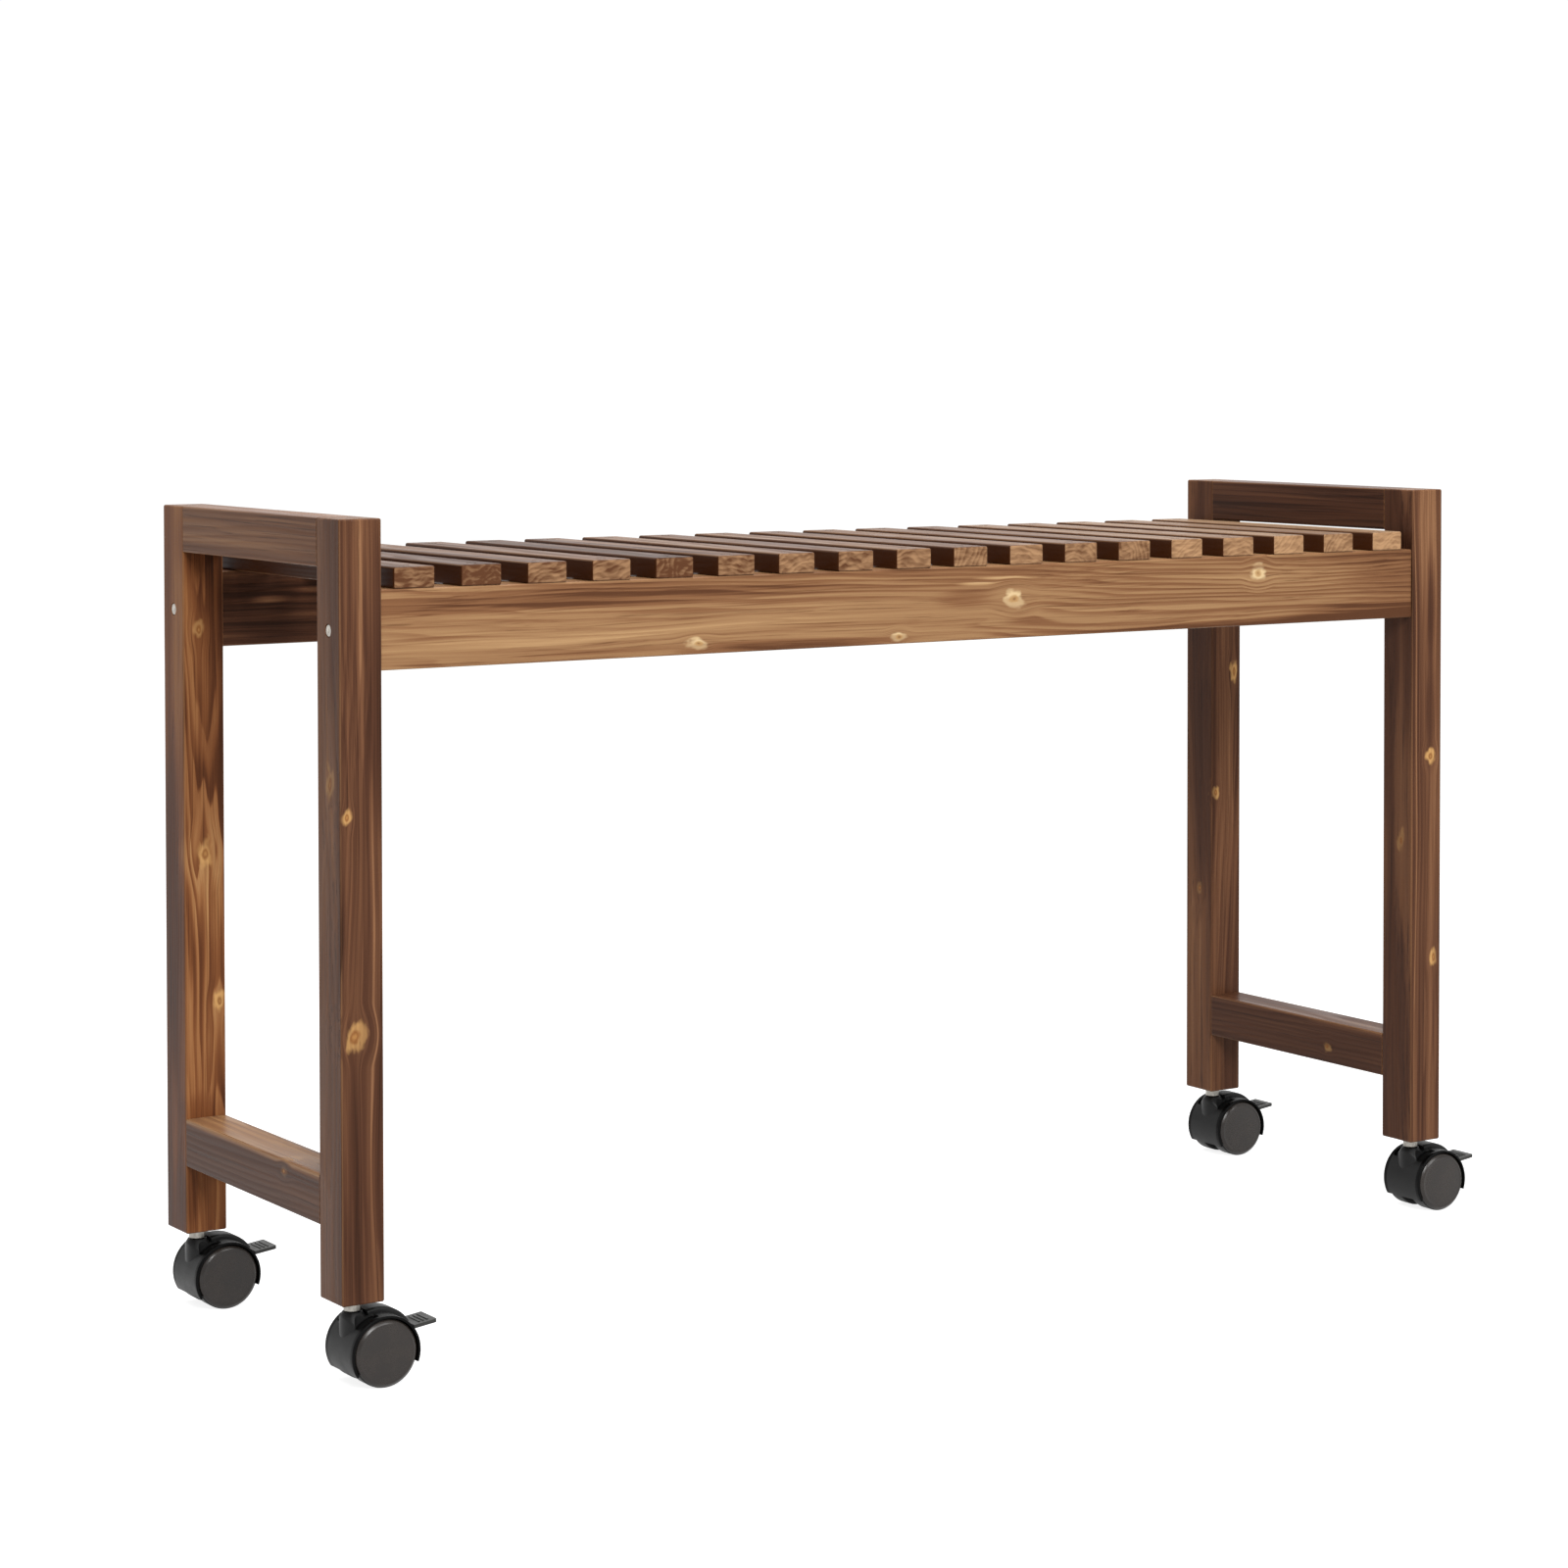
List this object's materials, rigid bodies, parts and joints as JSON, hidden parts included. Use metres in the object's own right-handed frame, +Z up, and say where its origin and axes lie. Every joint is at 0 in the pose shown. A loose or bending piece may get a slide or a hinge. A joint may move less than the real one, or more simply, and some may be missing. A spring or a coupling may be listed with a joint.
{
  "type": "plant stand",
  "caption": "Low slatted wooden plant stand on posts with end rails, rolling on swivelling twin-wheel casters with brake pedals.",
  "frame": {"origin": "on the floor, in the middle of the footprint with the brake pedals", "axes": "+X along the shelf towards the pedals, +Y to the back, +Z up"},
  "size_m": [1.0428, 0.31, 0.6],
  "materials": {
    "carbonized_wood": "satin, carbonized softwood with clear coat",
    "dowel_wood": "plain beech",
    "zinc_steel": "bright zinc plated",
    "hood_plastic": "moulded nylon, fine texture",
    "wheel_plastic": "moulded nylon"
  },
  "bodies": {
    "frame": {"post_front_left": "carbonized_wood", "post_back_left": "carbonized_wood", "post_front_right": "carbonized_wood", "post_back_right": "carbonized_wood", "top_end_rail_left": "carbonized_wood", "top_end_rail_right": "carbonized_wood", "low_end_rail_left": "carbonized_wood", "low_end_rail_right": "carbonized_wood", "long_rail_front": "carbonized_wood", "long_rail_back": "carbonized_wood", "slat_01": "carbonized_wood", "slat_02": "carbonized_wood", "slat_03": "carbonized_wood", "slat_04": "carbonized_wood", "slat_05": "carbonized_wood", "slat_06": "carbonized_wood", "slat_07": "carbonized_wood", "slat_08": "carbonized_wood", "slat_09": "carbonized_wood", "slat_10": "carbonized_wood", "slat_11": "carbonized_wood", "slat_12": "carbonized_wood", "slat_13": "carbonized_wood", "slat_14": "carbonized_wood", "slat_15": "carbonized_wood", "slat_16": "carbonized_wood", "slat_17": "carbonized_wood", "slat_18": "carbonized_wood", "frame_dowels": "dowel_wood", "joint_bolts": "zinc_steel", "barrel_nuts": "zinc_steel", "caster_inserts": "zinc_steel", "slat_screws": "zinc_steel", "front_left_caster_stem": "zinc_steel", "back_left_caster_stem": "zinc_steel", "front_right_caster_stem": "zinc_steel", "back_right_caster_stem": "zinc_steel"},
    "front_left_swivel": {"front_left_caster_body": "hood_plastic", "front_left_caster_pins": "zinc_steel"},
    "front_left_outer_wheel": {"front_left_outer_wheel": "wheel_plastic"},
    "front_left_inner_wheel": {"front_left_inner_wheel": "wheel_plastic"},
    "front_left_brake": {"front_left_brake_lever": "hood_plastic"},
    "back_left_swivel": {"back_left_caster_body": "hood_plastic", "back_left_caster_pins": "zinc_steel"},
    "back_left_outer_wheel": {"back_left_outer_wheel": "wheel_plastic"},
    "back_left_inner_wheel": {"back_left_inner_wheel": "wheel_plastic"},
    "back_left_brake": {"back_left_brake_lever": "hood_plastic"},
    "front_right_swivel": {"front_right_caster_body": "hood_plastic", "front_right_caster_pins": "zinc_steel"},
    "front_right_outer_wheel": {"front_right_outer_wheel": "wheel_plastic"},
    "front_right_inner_wheel": {"front_right_inner_wheel": "wheel_plastic"},
    "front_right_brake": {"front_right_brake_lever": "hood_plastic"},
    "back_right_swivel": {"back_right_caster_body": "hood_plastic", "back_right_caster_pins": "zinc_steel"},
    "back_right_outer_wheel": {"back_right_outer_wheel": "wheel_plastic"},
    "back_right_inner_wheel": {"back_right_inner_wheel": "wheel_plastic"},
    "back_right_brake": {"back_right_brake_lever": "hood_plastic"}
  },
  "joints": [
    {"name": "front_left_swivel_turn", "type": "hinge", "parent": "frame", "child": "front_left_swivel", "pos_m": [-0.50535, -0.132, 0.024], "axis": [0, 0, 1], "continuous": true},
    {"name": "front_left_outer_wheel_spin", "type": "hinge", "parent": "front_left_swivel", "child": "front_left_outer_wheel", "pos_m": [-0.48985, -0.132, 0.024], "axis": [0, 1, 0], "continuous": true},
    {"name": "front_left_inner_wheel_spin", "type": "hinge", "parent": "front_left_swivel", "child": "front_left_inner_wheel", "pos_m": [-0.48985, -0.132, 0.024], "axis": [0, 1, 0], "continuous": true},
    {"name": "front_left_brake_press", "type": "hinge", "parent": "front_left_swivel", "child": "front_left_brake", "pos_m": [-0.47398, -0.132, 0.03512], "axis": [0, 1, 0], "range_deg": [0, 15]},
    {"name": "back_left_swivel_turn", "type": "hinge", "parent": "frame", "child": "back_left_swivel", "pos_m": [-0.50535, 0.132, 0.024], "axis": [0, 0, 1], "continuous": true},
    {"name": "back_left_outer_wheel_spin", "type": "hinge", "parent": "back_left_swivel", "child": "back_left_outer_wheel", "pos_m": [-0.48985, 0.132, 0.024], "axis": [0, 1, 0], "continuous": true},
    {"name": "back_left_inner_wheel_spin", "type": "hinge", "parent": "back_left_swivel", "child": "back_left_inner_wheel", "pos_m": [-0.48985, 0.132, 0.024], "axis": [0, 1, 0], "continuous": true},
    {"name": "back_left_brake_press", "type": "hinge", "parent": "back_left_swivel", "child": "back_left_brake", "pos_m": [-0.47398, 0.132, 0.03512], "axis": [0, 1, 0], "range_deg": [0, 15]},
    {"name": "front_right_swivel_turn", "type": "hinge", "parent": "frame", "child": "front_right_swivel", "pos_m": [0.46265, -0.132, 0.024], "axis": [0, 0, 1], "continuous": true},
    {"name": "front_right_outer_wheel_spin", "type": "hinge", "parent": "front_right_swivel", "child": "front_right_outer_wheel", "pos_m": [0.47815, -0.132, 0.024], "axis": [0, 1, 0], "continuous": true},
    {"name": "front_right_inner_wheel_spin", "type": "hinge", "parent": "front_right_swivel", "child": "front_right_inner_wheel", "pos_m": [0.47815, -0.132, 0.024], "axis": [0, 1, 0], "continuous": true},
    {"name": "front_right_brake_press", "type": "hinge", "parent": "front_right_swivel", "child": "front_right_brake", "pos_m": [0.49402, -0.132, 0.03512], "axis": [0, 1, 0], "range_deg": [0, 15]},
    {"name": "back_right_swivel_turn", "type": "hinge", "parent": "frame", "child": "back_right_swivel", "pos_m": [0.46265, 0.132, 0.024], "axis": [0, 0, 1], "continuous": true},
    {"name": "back_right_outer_wheel_spin", "type": "hinge", "parent": "back_right_swivel", "child": "back_right_outer_wheel", "pos_m": [0.47815, 0.132, 0.024], "axis": [0, 1, 0], "continuous": true},
    {"name": "back_right_inner_wheel_spin", "type": "hinge", "parent": "back_right_swivel", "child": "back_right_inner_wheel", "pos_m": [0.47815, 0.132, 0.024], "axis": [0, 1, 0], "continuous": true},
    {"name": "back_right_brake_press", "type": "hinge", "parent": "back_right_swivel", "child": "back_right_brake", "pos_m": [0.49402, 0.132, 0.03512], "axis": [0, 1, 0], "range_deg": [0, 15]}
  ]
}
